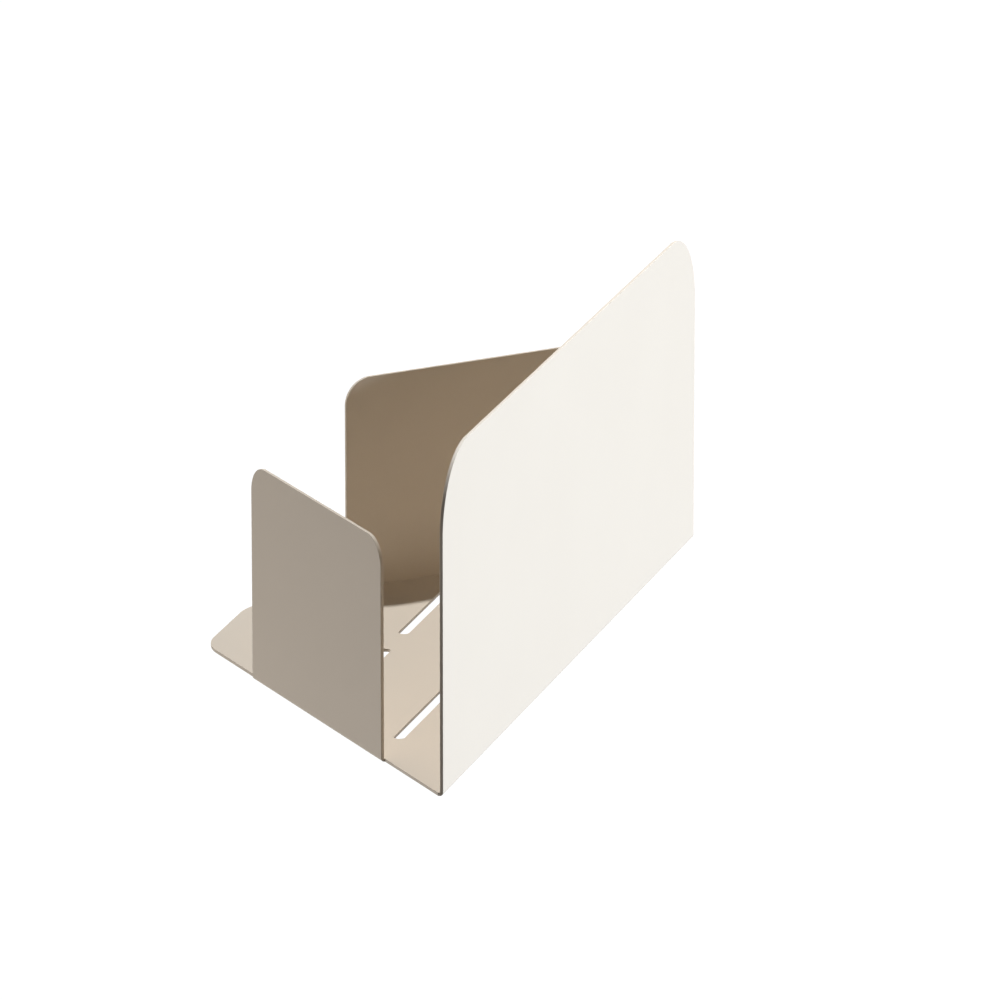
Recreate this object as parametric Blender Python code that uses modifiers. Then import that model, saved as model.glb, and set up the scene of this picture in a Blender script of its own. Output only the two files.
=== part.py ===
"""Corner shelf: one powder-coated steel sheet, cut to shape and folded up along three straight lines.

The plate lies flat. A tall front panel is folded up on its long side, and a short flange is folded up
on each of its two other sides, to lie against the two walls of a room's corner. All sizes are in
metres. +Z is up, +X runs along the front panel and +Y points into the corner of the room.
"""
import math

import bmesh
import bpy
from mathutils import Matrix, Vector

# The sheet and its folds. A bend runs out flat for a short lip, and the seam parts it from the plate
SHEET = 0.0012
BEND_INNER_RADIUS = 0.0002
BEND_LIP = 0.0002
SEAM = 0.0003

# The front panel
FRONT_LENGTH = 0.300
FRONT_HEIGHT = 0.120
FRONT_CORNER_RADIUS = 0.028

# The plate, whose side edges run from the front fold to the back edge
BACK_EDGE_LENGTH = 0.0454
BACK_CORNER_RADIUS = 0.020

# The wall flanges. Their margins are what the plate's side edge keeps free in front of and behind them
FLANGE_HEIGHT = 0.080
FLANGE_CORNER_RADIUS = 0.010
FLANGE_FRONT_MARGIN = 0.040
FLANGE_BACK_MARGIN = 0.040

# The drain slots. The front and back margins reach to the middle of the first and the last row
SLOT_ROWS = 3
SLOT_WIDTH = 0.0038
SLOT_BRIDGE = 0.0175
SLOT_SIDE_MARGIN = 0.019
SLOT_FRONT_MARGIN = 0.031
SLOT_BACK_MARGIN = 0.029

# Each wall stands at this angle to the front panel, so that the two walls meet at a right angle
WALL_ANGLE = math.radians(45)

# How finely round shapes are drawn
BEND_STEPS = 4
CORNER_STEPS = 14
SLOT_END_STEPS = 8
SMOOTH_BELOW = math.radians(30)

# The whole sheet has one powder coat, a pale warm sand
COAT_COLOUR = (0.71, 0.62, 0.51)
COAT_ROUGHNESS = 0.55

# Places on the plate that follow from the sizes above
BEND_OUTER_RADIUS = BEND_INNER_RADIUS + SHEET
PLATE_START = BEND_OUTER_RADIUS + BEND_LIP + SEAM
HALF_FRONT = FRONT_LENGTH / 2
DEPTH = PLATE_START + (HALF_FRONT - BACK_EDGE_LENGTH / 2) * math.tan(WALL_ANGLE)
SIDE_EDGE_START = Vector((-HALF_FRONT, PLATE_START))
SIDE_EDGE_END = Vector((-BACK_EDGE_LENGTH / 2, DEPTH))
ALONG_WALL = Vector((math.cos(WALL_ANGLE), math.sin(WALL_ANGLE)))
FROM_WALL = Vector((math.sin(WALL_ANGLE), -math.cos(WALL_ANGLE)))
FLANGE_START = FLANGE_FRONT_MARGIN
FLANGE_END = (SIDE_EDGE_END - SIDE_EDGE_START).length - FLANGE_BACK_MARGIN


def side_point(along, from_wall):
    """A point by the left side edge: how far along the edge, and how far from the wall's face."""
    return SIDE_EDGE_START + ALONG_WALL * along + FROM_WALL * (from_wall - BEND_OUTER_RADIUS)


def mirrored(points):
    """The same points on the other side of the shelf, in the order that carries an outline on."""
    return [Vector((-point.x, point.y)) for point in reversed(points)]


def arc(centre, radius, first_angle, last_angle, steps):
    """Points along a circular arc, both ends included."""
    points = []
    for step in range(steps + 1):
        angle = first_angle + (last_angle - first_angle) * step / steps
        points.append(centre + Vector((math.cos(angle), math.sin(angle))) * radius)
    return points


def plate_outline():
    """The plate's edge, from the front fold round by the back.

    The side edge steps in to make room for the flange's bend. The back corner is an arc that touches
    the side edge and the back edge.
    """
    tangent = BACK_CORNER_RADIUS * math.tan(WALL_ANGLE / 2)
    centre = SIDE_EDGE_END + Vector((tangent, -BACK_CORNER_RADIUS))
    left = [
        SIDE_EDGE_START,
        side_point(FLANGE_START - SEAM, BEND_OUTER_RADIUS),
        side_point(FLANGE_START - SEAM, PLATE_START),
        side_point(FLANGE_END + SEAM, PLATE_START),
        side_point(FLANGE_END + SEAM, BEND_OUTER_RADIUS),
    ]
    left += arc(centre, BACK_CORNER_RADIUS, math.pi / 2 + WALL_ANGLE, math.pi / 2, CORNER_STEPS)
    return left + mirrored(left)


def slot_outlines():
    """The slots, parallel to the front panel, with round ends: two in each row, beside the bridge."""
    first_row = BEND_OUTER_RADIUS + SLOT_FRONT_MARGIN
    last_row = DEPTH - SLOT_BACK_MARGIN
    end_radius = SLOT_WIDTH / 2
    outlines = []
    for index in range(SLOT_ROWS):
        row = first_row + (last_row - first_row) * index / max(SLOT_ROWS - 1, 1)
        side_edge = HALF_FRONT - (row - PLATE_START) / math.tan(WALL_ANGLE)
        inner_centre = Vector((SLOT_BRIDGE / 2 + end_radius, row))
        outer_centre = Vector((side_edge - SLOT_SIDE_MARGIN - end_radius, row))
        if outer_centre.x > inner_centre.x:
            right = arc(outer_centre, end_radius, -math.pi / 2, math.pi / 2, SLOT_END_STEPS)
            right += arc(inner_centre, end_radius, math.pi / 2, math.pi * 3 / 2, SLOT_END_STEPS)
            outlines += [right, mirrored(right)]
    return outlines


def powder_coat(name):
    """Powder coat on steel: a matt paint, baked on."""
    material = bpy.data.materials.new(name)
    material.use_nodes = True
    shader = material.node_tree.nodes["Principled BSDF"]
    shader.inputs["Base Color"].default_value = (*COAT_COLOUR, 1)
    shader.inputs["Metallic"].default_value = 0
    shader.inputs["Roughness"].default_value = COAT_ROUGHNESS
    material.diffuse_color = (*COAT_COLOUR, 1)
    return material


def flat_leaf(name, outlines, material):
    """A leaf that lies flat on the ground: the first outline is its edge, the others are cut out."""
    curve = bpy.data.curves.new(name, "CURVE")
    curve.dimensions = "2D"
    curve.fill_mode = "BOTH"
    curve.extrude = SHEET / 2
    for outline in outlines:
        spline = curve.splines.new("POLY")
        spline.points.add(len(outline) - 1)
        spline.use_cyclic_u = True
        for spline_point, point in zip(spline.points, outline):
            spline_point.co = (point.x, point.y, 0, 1)
    curve.materials.append(material)
    leaf = bpy.data.objects.new(name, curve)
    leaf.location.z = SHEET / 2
    return leaf


def upright_leaf(name, length, height, corner_radius, material):
    """A leaf that stands up, with its bend along the foot and its two top corners rounded.

    Its outer face lies in its own XZ plane, from its origin along +X, and the bend turns in towards
    +Y. Only the outer face is drawn, and the sheet's thickness grows inwards from it.
    """
    face = bmesh.new()
    bmesh.ops.create_grid(face, x_segments=1, y_segments=1, size=1)
    half_size = Vector((length / 2, (height - BEND_OUTER_RADIUS) / 2, 1))
    middle = Vector((half_size.x, 0, height - half_size.y))
    bmesh.ops.scale(face, vec=half_size, verts=face.verts)
    bmesh.ops.rotate(face, cent=(0, 0, 0), matrix=Matrix.Rotation(math.pi / 2, 3, "X"), verts=face.verts)
    bmesh.ops.translate(face, vec=middle, verts=face.verts)
    bmesh.ops.bevel(
        face,
        geom=[vertex for vertex in face.verts if vertex.co.z > middle.z],
        affect="VERTICES",
        offset=corner_radius,
        offset_type="OFFSET",
        segments=CORNER_STEPS,
        profile=0.5,
        clamp_overlap=True,
        material=-1,
    )
    foot = min(face.edges, key=lambda edge: sum(vertex.co.z for vertex in edge.verts))
    bend = bmesh.ops.spin(
        face,
        geom=[foot, *foot.verts],
        cent=(0, BEND_OUTER_RADIUS, BEND_OUTER_RADIUS),
        axis=(1, 0, 0),
        angle=math.pi / 2,
        steps=BEND_STEPS,
        use_duplicate=False,
    )
    bend_end = [part for part in bend["geom_last"] if isinstance(part, bmesh.types.BMEdge)]
    lip = bmesh.ops.extrude_edge_only(face, edges=bend_end)
    lip_end = [part for part in lip["geom"] if isinstance(part, bmesh.types.BMVert)]
    bmesh.ops.translate(face, vec=(0, BEND_LIP, 0), verts=lip_end)
    bmesh.ops.recalc_face_normals(face, faces=face.faces)
    largest = max(face.faces, key=lambda part: part.calc_area())
    if largest.normal.y > 0:
        bmesh.ops.reverse_faces(face, faces=face.faces)
    mesh = bpy.data.meshes.new(name)
    face.to_mesh(mesh)
    face.free()
    mesh.materials.append(material)
    mesh.shade_smooth()
    mesh.set_sharp_from_angle(angle=SMOOTH_BELOW)
    leaf = bpy.data.objects.new(name, mesh)
    sheet = leaf.modifiers.new("sheet_thickness", "SOLIDIFY")
    sheet.thickness = SHEET
    sheet.offset = -1
    sheet.use_even_offset = True
    return leaf


for old in list(bpy.data.objects):
    bpy.data.objects.remove(old, do_unlink=True)

# The whole shelf hangs on a marker that puts the origin under the middle of its length and depth
shelf = bpy.data.collections.new("corner_shelf")
bpy.context.scene.collection.children.link(shelf)
front_middle = bpy.data.objects.new("front_middle", None)
front_middle.location = (0, -DEPTH / 2, 0)
shelf.objects.link(front_middle)

# The plate lies on the ground, with its slots cut through it
shelf_plate = flat_leaf(
    "shelf_plate",
    [plate_outline()] + slot_outlines(),
    powder_coat("shelf_plate_coat"),
)

# The front panel runs along the whole long side, with its outer face towards the room
front_panel = upright_leaf(
    "front_panel",
    FRONT_LENGTH,
    FRONT_HEIGHT,
    FRONT_CORNER_RADIUS,
    powder_coat("front_panel_coat"),
)
front_panel.location.x = -HALF_FRONT

# The flanges stand on the side edges, with their outer faces against the walls
left_wall_flange = upright_leaf(
    "left_wall_flange",
    FLANGE_END - FLANGE_START,
    FLANGE_HEIGHT,
    FLANGE_CORNER_RADIUS,
    powder_coat("left_wall_flange_coat"),
)
left_wall_flange.location = (*side_point(FLANGE_END, 0), 0)
left_wall_flange.rotation_euler.z = math.pi + WALL_ANGLE

right_wall_flange = upright_leaf(
    "right_wall_flange",
    FLANGE_END - FLANGE_START,
    FLANGE_HEIGHT,
    FLANGE_CORNER_RADIUS,
    powder_coat("right_wall_flange_coat"),
)
right_wall_flange.location = (*mirrored([side_point(FLANGE_START, 0)])[0], 0)
right_wall_flange.rotation_euler.z = math.pi - WALL_ANGLE

for leaf in (shelf_plate, front_panel, left_wall_flange, right_wall_flange):
    shelf.objects.link(leaf)
    leaf.parent = front_middle
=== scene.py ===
import math

import bmesh
import bpy
from mathutils import Matrix, Vector


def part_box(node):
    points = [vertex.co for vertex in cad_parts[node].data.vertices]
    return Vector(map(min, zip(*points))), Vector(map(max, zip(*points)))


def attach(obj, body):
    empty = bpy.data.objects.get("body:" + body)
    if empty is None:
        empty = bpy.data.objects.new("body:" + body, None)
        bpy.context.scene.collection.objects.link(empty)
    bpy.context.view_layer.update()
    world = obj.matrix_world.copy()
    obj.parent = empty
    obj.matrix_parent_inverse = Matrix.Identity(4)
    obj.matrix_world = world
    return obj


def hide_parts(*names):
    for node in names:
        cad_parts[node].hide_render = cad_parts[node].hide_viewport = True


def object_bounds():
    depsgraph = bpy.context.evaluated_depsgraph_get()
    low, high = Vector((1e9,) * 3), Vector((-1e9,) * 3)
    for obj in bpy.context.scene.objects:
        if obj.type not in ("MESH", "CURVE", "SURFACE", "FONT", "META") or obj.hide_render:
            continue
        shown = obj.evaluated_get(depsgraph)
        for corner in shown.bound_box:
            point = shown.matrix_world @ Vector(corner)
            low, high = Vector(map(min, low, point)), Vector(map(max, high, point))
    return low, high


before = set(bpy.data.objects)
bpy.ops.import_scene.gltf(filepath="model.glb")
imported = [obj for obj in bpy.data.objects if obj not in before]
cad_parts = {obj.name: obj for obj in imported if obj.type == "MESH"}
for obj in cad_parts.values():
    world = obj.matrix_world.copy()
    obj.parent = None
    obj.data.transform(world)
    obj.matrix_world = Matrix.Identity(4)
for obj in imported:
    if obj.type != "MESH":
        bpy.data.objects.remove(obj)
cad_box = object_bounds()


# The shelf plate is the flat floor of the shelf, cut from 1.2 mm sheet steel together with its drain slots.
# The same sheet goes on into the front panel and the two wall flanges, which are folded up from it. Its
# cut edges are slightly rounded, because the powder coat draws back from them as it melts.
plate_low, plate_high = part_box("shelf_plate")
panel_low, panel_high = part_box("front_panel")
flange_low, flange_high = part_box("right_wall_flange")

SHEET = plate_high.z - plate_low.z
FOLD_DEPTH = panel_high.y - panel_low.y
BEND_RADIUS = 0.0014
EDGE_ROUNDING = 0.00015
EDGE_STEPS = 4
BACK_CORNER_RADIUS = 0.020
BACK_CORNER_STEPS = 24

SLOT_ROWS = 3
SLOT_WIDTH = 0.0038
SLOT_BRIDGE = 0.0175
SLOT_SIDE_MARGIN = 0.019
SLOT_FRONT_MARGIN = 0.031
SLOT_BACK_MARGIN = 0.029
SLOT_END_STEPS = 16

# Each wall stands at the first angle to the front panel. An edge sharper than the second is a cut edge
WALL_ANGLE = math.radians(45)
SHARP_ANGLE = math.radians(30)
SAME_PLACE = 1e-6

# On the right-hand side, one way runs along the wall towards the corner of the room, and one into the shelf
along_wall = Vector((-math.cos(WALL_ANGLE), math.sin(WALL_ANGLE), 0))
from_wall = Vector((-math.sin(WALL_ANGLE), -math.cos(WALL_ANGLE), 0))
flange_front = Vector((flange_high.x, flange_low.y - FOLD_DEPTH * from_wall.y, 0))
flange_back = Vector((flange_low.x - FOLD_DEPTH * from_wall.x, flange_high.y, 0))
flange_length = (flange_back - flange_front).length

# The plate's side edge goes on in one line past both ends of the flange
side_edge = flange_front + from_wall * BEND_RADIUS


def side_edge_at(y):
    """How far from the middle the plate's side edge is, at a place along the shelf's depth."""
    return side_edge.x + (y - side_edge.y) * along_wall.x / along_wall.y


def spin_half_circle(sheet, vertex, centre):
    """Draws half a circle clockwise from a vertex and returns the vertex at its end."""
    turned = bmesh.ops.spin(
        sheet,
        geom=[vertex],
        cent=centre,
        axis=(0, 0, 1),
        angle=-math.pi,
        steps=SLOT_END_STEPS,
        use_duplicate=False,
    )
    return next(part for part in turned["geom_last"] if isinstance(part, bmesh.types.BMVert))


def draw_slot(sheet, row):
    """Draws the slot on the right of the bridge: a long straight slot with two round ends."""
    radius = SLOT_WIDTH / 2
    inner = Vector((SLOT_BRIDGE / 2 + radius, row, 0))
    outer = Vector((side_edge_at(row) - SLOT_SIDE_MARGIN - radius, row, 0))
    across = Vector((0, radius, 0))
    start = sheet.verts.new(inner - across)
    inner_end = spin_half_circle(sheet, start, inner)
    outer_start = sheet.verts.new(outer + across)
    sheet.edges.new((inner_end, outer_start))
    outer_end = spin_half_circle(sheet, outer_start, outer)
    sheet.edges.new((outer_end, start))


def draw_plate():
    """Draws the right half of the plate with its slots, mirrors it and fills it as one flat sheet."""
    sheet = bmesh.new()
    back = plate_high.y
    back_corner = Vector((side_edge_at(back), back, 0))
    tangent = BACK_CORNER_RADIUS * math.tan(WALL_ANGLE / 2)
    places = [
        Vector((0, panel_high.y, 0)),
        Vector((panel_high.x, panel_high.y, 0)),
        side_edge + along_wall * ((panel_high.x - side_edge.x) / along_wall.x),
        side_edge,
        flange_front + from_wall * FOLD_DEPTH,
        flange_back + from_wall * FOLD_DEPTH,
        flange_back + from_wall * BEND_RADIUS,
        back_corner - along_wall * tangent,
    ]
    outline = [sheet.verts.new(place) for place in places]
    for first, second in zip(outline, outline[1:]):
        sheet.edges.new((first, second))
    corner = bmesh.ops.spin(
        sheet,
        geom=[outline[-1]],
        cent=back_corner + Vector((-tangent, -BACK_CORNER_RADIUS, 0)),
        axis=(0, 0, 1),
        angle=WALL_ANGLE,
        steps=BACK_CORNER_STEPS,
        use_duplicate=False,
    )
    corner_end = next(part for part in corner["geom_last"] if isinstance(part, bmesh.types.BMVert))
    sheet.edges.new((corner_end, sheet.verts.new((0, back, 0))))

    first_row = panel_low.y + BEND_RADIUS + SLOT_FRONT_MARGIN
    last_row = back - SLOT_BACK_MARGIN
    for index in range(SLOT_ROWS):
        draw_slot(sheet, first_row + (last_row - first_row) * index / (SLOT_ROWS - 1))

    bmesh.ops.mirror(sheet, geom=sheet.verts[:] + sheet.edges[:], axis="X", merge_dist=SAME_PLACE)
    bmesh.ops.triangle_fill(sheet, edges=sheet.edges[:], use_beauty=True, normal=(0, 0, 1))
    bmesh.ops.dissolve_limit(sheet, angle_limit=SHARP_ANGLE, verts=[], edges=sheet.edges[:])
    bmesh.ops.recalc_face_normals(sheet, faces=sheet.faces)
    if sheet.faces[:][0].normal.z > 0:
        bmesh.ops.reverse_faces(sheet, faces=sheet.faces)
    return sheet


def thicken(sheet):
    """Gives a drawn outer face the sheet's thickness, on the side away from where it faces."""
    bmesh.ops.solidify(sheet, geom=sheet.faces[:], thickness=SHEET)
    bmesh.ops.recalc_face_normals(sheet, faces=sheet.faces)


def soften_cut_edges(sheet, joins):
    """Rounds every cut edge, but not where this leaf joins the next one of the same sheet."""
    cut = [edge for edge in sheet.edges if edge.calc_face_angle(0) > SHARP_ANGLE and not joins(edge)]
    bmesh.ops.bevel(
        sheet,
        geom=cut,
        affect="EDGES",
        offset=EDGE_ROUNDING,
        offset_type="OFFSET",
        segments=EDGE_STEPS,
        profile=0.5,
        clamp_overlap=True,
        loop_slide=True,
        material=-1,
    )


def plate_joins(edge):
    """Whether an edge of the plate is where the front panel or a wall flange is folded up from it."""
    middle = (edge.verts[0].co + edge.verts[1].co) / 2
    if middle.y < panel_high.y + SAME_PLACE:
        return True
    offset = Vector((abs(middle.x), middle.y, 0)) - flange_front
    beside = -SAME_PLACE < offset.dot(along_wall) < flange_length + SAME_PLACE
    return beside and offset.dot(from_wall) < FOLD_DEPTH + SAME_PLACE


COAT_COLOUR = (0.70, 0.61, 0.50)
COAT_PALER = (0.725, 0.634, 0.522)
COAT_ROUGHNESS = (0.46, 0.60)
COAT_SPECULAR = 0.3
COAT_CLOUDS = 18
COAT_PEEL = 700
COAT_GRAIN = 3200
COAT_CLOUDS_DETAIL = 3
COAT_GRAIN_DETAIL = 2
COAT_PEEL_HEIGHT = 0.000012
COAT_GRAIN_HEIGHT = 0.000005
FLAT_FACE_WEIGHT = 100


def powder_coat():
    """Powder coat, baked on: a matt pale sand with a faint orange peel and a finer grain over it."""
    material = bpy.data.materials.new("powder_coat")
    material.use_nodes = True
    nodes = material.node_tree.nodes
    links = material.node_tree.links
    shader = nodes["Principled BSDF"]
    shader.inputs["Metallic"].default_value = 0
    shader.inputs["Specular IOR Level"].default_value = COAT_SPECULAR
    place = nodes.new("ShaderNodeTexCoord")

    def noise(scale, detail):
        texture = nodes.new("ShaderNodeTexNoise")
        texture.inputs["Scale"].default_value = scale
        texture.inputs["Detail"].default_value = detail
        links.new(place.outputs["Object"], texture.inputs["Vector"])
        return texture.outputs["Fac"]

    clouds = noise(COAT_CLOUDS, COAT_CLOUDS_DETAIL)
    peel = noise(COAT_PEEL, COAT_GRAIN_DETAIL)
    grain = noise(COAT_GRAIN, COAT_GRAIN_DETAIL)

    tint = nodes.new("ShaderNodeMix")
    tint.data_type = "RGBA"
    tint.inputs["A"].default_value = (*COAT_COLOUR, 1)
    tint.inputs["B"].default_value = (*COAT_PALER, 1)
    links.new(clouds, tint.inputs["Factor"])
    links.new(tint.outputs["Result"], shader.inputs["Base Color"])

    gloss = nodes.new("ShaderNodeMapRange")
    gloss.inputs["To Min"].default_value = COAT_ROUGHNESS[0]
    gloss.inputs["To Max"].default_value = COAT_ROUGHNESS[1]
    links.new(grain, gloss.inputs["Value"])
    links.new(gloss.outputs["Result"], shader.inputs["Roughness"])

    relief = None
    for height, distance in ((peel, COAT_PEEL_HEIGHT), (grain, COAT_GRAIN_HEIGHT)):
        bump = nodes.new("ShaderNodeBump")
        bump.inputs["Distance"].default_value = distance
        links.new(height, bump.inputs["Height"])
        if relief:
            links.new(relief, bump.inputs["Normal"])
        relief = bump.outputs["Normal"]
    links.new(relief, shader.inputs["Normal"])
    return material


coat = powder_coat()


def finish_leaf(sheet, name):
    """Turns a leaf into a piece that stands for the CAD node of the same name."""
    mesh = bpy.data.meshes.new(name)
    sheet.to_mesh(mesh)
    sheet.free()
    mesh.shade_smooth()
    mesh.materials.append(coat)
    piece = bpy.data.objects.new("coated_" + name, mesh)
    bpy.context.scene.collection.objects.link(piece)
    flat_faces = piece.modifiers.new("flat_faces_stay_flat", "WEIGHTED_NORMAL")
    flat_faces.weight = FLAT_FACE_WEIGHT
    flat_faces.mode = "FACE_AREA"
    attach(piece, "root")
    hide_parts(name)


plate = draw_plate()
thicken(plate)
soften_cut_edges(plate, plate_joins)
finish_leaf(plate, "shelf_plate")


# The front panel is the long side of the sheet, folded up by a right angle. It faces the room and keeps
# what stands on the shelf from falling. Its two top corners were cut to a wide round before folding.
FRONT_CORNER_RADIUS = 0.028
BEND_STEPS = 16
CORNER_STEPS = 32


def draw_folded_leaf(length, height, corner_radius):
    """Draws a leaf's outer face in the XZ plane, and its bend, which turns in towards +Y at the foot."""
    sheet = bmesh.new()
    bmesh.ops.create_grid(sheet, x_segments=1, y_segments=1, size=1)
    half_size = Vector((length / 2, (height - BEND_RADIUS) / 2, 1))
    middle = Vector((half_size.x, 0, height - half_size.y))
    bmesh.ops.scale(sheet, vec=half_size, verts=sheet.verts)
    bmesh.ops.rotate(sheet, cent=(0, 0, 0), matrix=Matrix.Rotation(math.pi / 2, 3, "X"), verts=sheet.verts)
    bmesh.ops.translate(sheet, vec=middle, verts=sheet.verts)
    bmesh.ops.bevel(
        sheet,
        geom=[vertex for vertex in sheet.verts if vertex.co.z > middle.z],
        affect="VERTICES",
        offset=corner_radius,
        offset_type="OFFSET",
        segments=CORNER_STEPS,
        profile=0.5,
        clamp_overlap=True,
        material=-1,
    )
    foot = min(sheet.edges, key=lambda edge: sum(vertex.co.z for vertex in edge.verts))
    bend = bmesh.ops.spin(
        sheet,
        geom=[foot, *foot.verts],
        cent=(0, BEND_RADIUS, BEND_RADIUS),
        axis=(1, 0, 0),
        angle=math.pi / 2,
        steps=BEND_STEPS,
        use_duplicate=False,
    )
    bend_end = [part for part in bend["geom_last"] if isinstance(part, bmesh.types.BMEdge)]
    lip = bmesh.ops.extrude_edge_only(sheet, edges=bend_end)
    lip_end = [part for part in lip["geom"] if isinstance(part, bmesh.types.BMVert)]
    bmesh.ops.translate(sheet, vec=(0, FOLD_DEPTH - BEND_RADIUS, 0), verts=lip_end)
    bmesh.ops.recalc_face_normals(sheet, faces=sheet.faces)
    largest = max(sheet.faces, key=lambda face: face.calc_area())
    if largest.normal.y > 0:
        bmesh.ops.reverse_faces(sheet, faces=sheet.faces)
    return sheet


def foot_joins(edge):
    """Whether an edge of a folded leaf is where the leaf goes on into the plate."""
    return all(vertex.co.y > FOLD_DEPTH - SAME_PLACE for vertex in edge.verts)


front = draw_folded_leaf(panel_high.x - panel_low.x, panel_high.z - panel_low.z, FRONT_CORNER_RADIUS)
thicken(front)
soften_cut_edges(front, foot_joins)
bmesh.ops.translate(front, vec=panel_low, verts=front.verts)
finish_leaf(front, "front_panel")


# The two wall flanges are folded up from the plate's side edges. Their outer faces lie against the walls,
# where the shelf is glued on, and each is shorter than its side edge, so the plate shows past both ends.
FLANGE_CORNER_RADIUS = 0.010


def flange_joins(edge):
    """Whether an edge is part of the lip that lies inside the plate's edge."""
    return all(vertex.co.y > BEND_RADIUS - SAME_PLACE for vertex in edge.verts)


def place_flange(name, start, turn):
    """Makes a flange and stands it on its side edge, with its outer face against the wall."""
    flange = draw_folded_leaf(flange_length, flange_high.z - flange_low.z, FLANGE_CORNER_RADIUS)
    thicken(flange)
    soften_cut_edges(flange, flange_joins)
    bmesh.ops.transform(
        flange,
        matrix=Matrix.Translation(start) @ Matrix.Rotation(turn, 4, "Z"),
        verts=flange.verts,
    )
    finish_leaf(flange, name)


place_flange("right_wall_flange", flange_front, math.pi - WALL_ANGLE)
place_flange("left_wall_flange", Vector((-flange_back.x, flange_back.y, 0)), math.pi + WALL_ANGLE)


# The camera is where the photograph was taken from: far off, behind the shelf's left-hand wall, looking
# down a little. Its place is fitted to the edges in the photograph.
CAMERA_LENS = 373.6
CAMERA_SENSOR = 36
CAMERA_REACH = 100
CAMERA_DISTANCE = 3.5297
CAMERA_TURN = math.radians(-72.496)
CAMERA_RISE = math.radians(17.706)
CAMERA_AIM = Vector((-0.11494, -0.07377, 0.09609))

towards_camera = Vector((
    math.sin(CAMERA_TURN) * math.cos(CAMERA_RISE),
    -math.cos(CAMERA_TURN) * math.cos(CAMERA_RISE),
    math.sin(CAMERA_RISE),
))
camera_data = bpy.data.cameras.new("camera")
camera_data.lens = CAMERA_LENS
camera_data.sensor_width = CAMERA_SENSOR
camera_data.clip_end = CAMERA_REACH
camera = bpy.data.objects.new("camera", camera_data)
camera.location = CAMERA_AIM + towards_camera * CAMERA_DISTANCE
camera.rotation_mode = "QUATERNION"
camera.rotation_quaternion = (-towards_camera).to_track_quat("-Z", "Y")
bpy.context.scene.collection.objects.link(camera)
bpy.context.scene.camera = camera


# The studio is a wide pale floor well below the shelf, which hangs as it would on a wall, and three soft
# lamps: a small one close over it, a large one far off on the room side and a low one on the wall side.
FLOOR_DROP = 0.50
FLOOR_SIZE = 30.0
FLOOR_COLOUR = (0.25, 0.25, 0.25)
FLOOR_ROUGHNESS = 0.9

# The floor glows where it is seen, to look white, and gives no light. Further out the lamps reach it less,
# so there it glows more
FLOOR_GLOW = (0.785, 0.935)
FLOOR_GLOW_REACH = (0.40, 1.60)

floor_shape = bmesh.new()
bmesh.ops.create_grid(floor_shape, x_segments=1, y_segments=1, size=FLOOR_SIZE / 2)
floor_mesh = bpy.data.meshes.new("floor")
floor_shape.to_mesh(floor_mesh)
floor_shape.free()
floor = bpy.data.objects.new("floor", floor_mesh)
floor.location.z = -FLOOR_DROP
bpy.context.scene.collection.objects.link(floor)


def only_seen(nodes, links):
    """Gives 1 for what the camera sees, straight, in a gloss or through glass, and 0 for other light."""
    path = nodes.new("ShaderNodeLightPath")
    seen = path.outputs["Is Camera Ray"]
    for ray in ("Is Glossy Ray", "Is Transmission Ray"):
        either = nodes.new("ShaderNodeMath")
        either.operation = "MAXIMUM"
        links.new(seen, either.inputs[0])
        links.new(path.outputs[ray], either.inputs[1])
        seen = either.outputs["Value"]
    return seen


floor_material = bpy.data.materials.new("floor")
floor_material.use_nodes = True
floor_nodes = floor_material.node_tree.nodes
floor_links = floor_material.node_tree.links
floor_shader = floor_nodes["Principled BSDF"]
floor_shader.inputs["Base Color"].default_value = (*FLOOR_COLOUR, 1)
floor_shader.inputs["Roughness"].default_value = FLOOR_ROUGHNESS
floor_shader.inputs["Emission Color"].default_value = (1, 1, 1, 1)
floor_place = floor_nodes.new("ShaderNodeTexCoord")
floor_distance = floor_nodes.new("ShaderNodeVectorMath")
floor_distance.operation = "LENGTH"
floor_links.new(floor_place.outputs["Object"], floor_distance.inputs[0])
floor_rise = floor_nodes.new("ShaderNodeMapRange")
floor_rise.inputs["From Min"].default_value = FLOOR_GLOW_REACH[0]
floor_rise.inputs["From Max"].default_value = FLOOR_GLOW_REACH[1]
floor_rise.inputs["To Min"].default_value = FLOOR_GLOW[0]
floor_rise.inputs["To Max"].default_value = FLOOR_GLOW[1]
floor_links.new(floor_distance.outputs["Value"], floor_rise.inputs["Value"])
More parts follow.
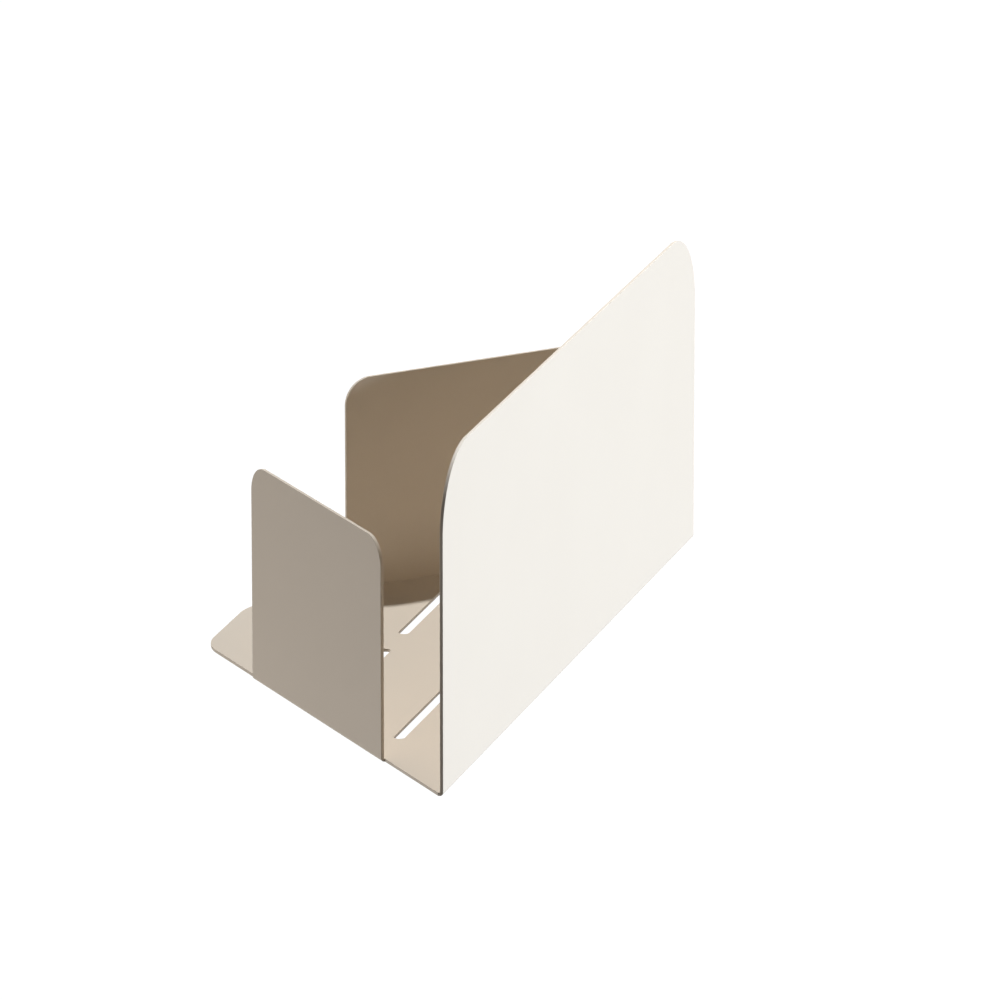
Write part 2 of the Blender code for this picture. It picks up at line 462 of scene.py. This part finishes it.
floor_glow = floor_nodes.new("ShaderNodeMath")
floor_glow.operation = "MULTIPLY"
floor_links.new(only_seen(floor_nodes, floor_links), floor_glow.inputs[0])
floor_links.new(floor_rise.outputs["Result"], floor_glow.inputs[1])
floor_links.new(floor_glow.outputs["Value"], floor_shader.inputs["Emission Strength"])
floor_mesh.materials.append(floor_material)

# The room round the studio is seen as white, and lights the shelf only dimly
ROOM_LIGHT = (0.03, 0.018, 0.008)

world = bpy.data.worlds.new("studio")
world.use_nodes = True
world_nodes = world.node_tree.nodes
world_links = world.node_tree.links
background = world_nodes["Background"]
background.inputs["Strength"].default_value = 1
room = world_nodes.new("ShaderNodeMix")
room.data_type = "RGBA"
room.inputs["A"].default_value = (*ROOM_LIGHT, 1)
room.inputs["B"].default_value = (1, 1, 1, 1)
world_links.new(only_seen(world_nodes, world_links), room.inputs["Factor"])
world_links.new(room.outputs["Result"], background.inputs["Color"])
bpy.context.scene.world = world


def soft_lamp(name, place, width, height, power, colour):
    """A soft lamp that faces the middle of the shelf."""
    data = bpy.data.lights.new(name, "AREA")
    data.shape = "RECTANGLE"
    data.size = width
    data.size_y = height
    data.energy = power
    data.color = colour
    lamp = bpy.data.objects.new(name, data)
    lamp.location = place
    lamp.rotation_mode = "QUATERNION"
    middle = (cad_box[0] + cad_box[1]) / 2
    lamp.rotation_quaternion = (middle - lamp.location).to_track_quat("-Z", "Y")
    bpy.context.scene.collection.objects.link(lamp)


soft_lamp(
    "top_lamp",
    place=Vector((0.247, 0.239, 0.95)),
    width=0.04,
    height=0.04,
    power=8.3,
    colour=(0.92, 0.957, 1),
)
soft_lamp(
    "room_side_lamp",
    place=Vector((0.6, -4.0, 1.34)),
    width=1.2,
    height=1.2,
    power=260,
    colour=(0.774, 0.869, 1),
)
soft_lamp(
    "wall_side_lamp",
    place=Vector((-0.25, 1.1, -0.42)),
    width=0.6,
    height=0.14,
    power=6.0,
    colour=(1, 0.966, 0.926),
)

bpy.context.scene.view_settings.view_transform = "Standard"
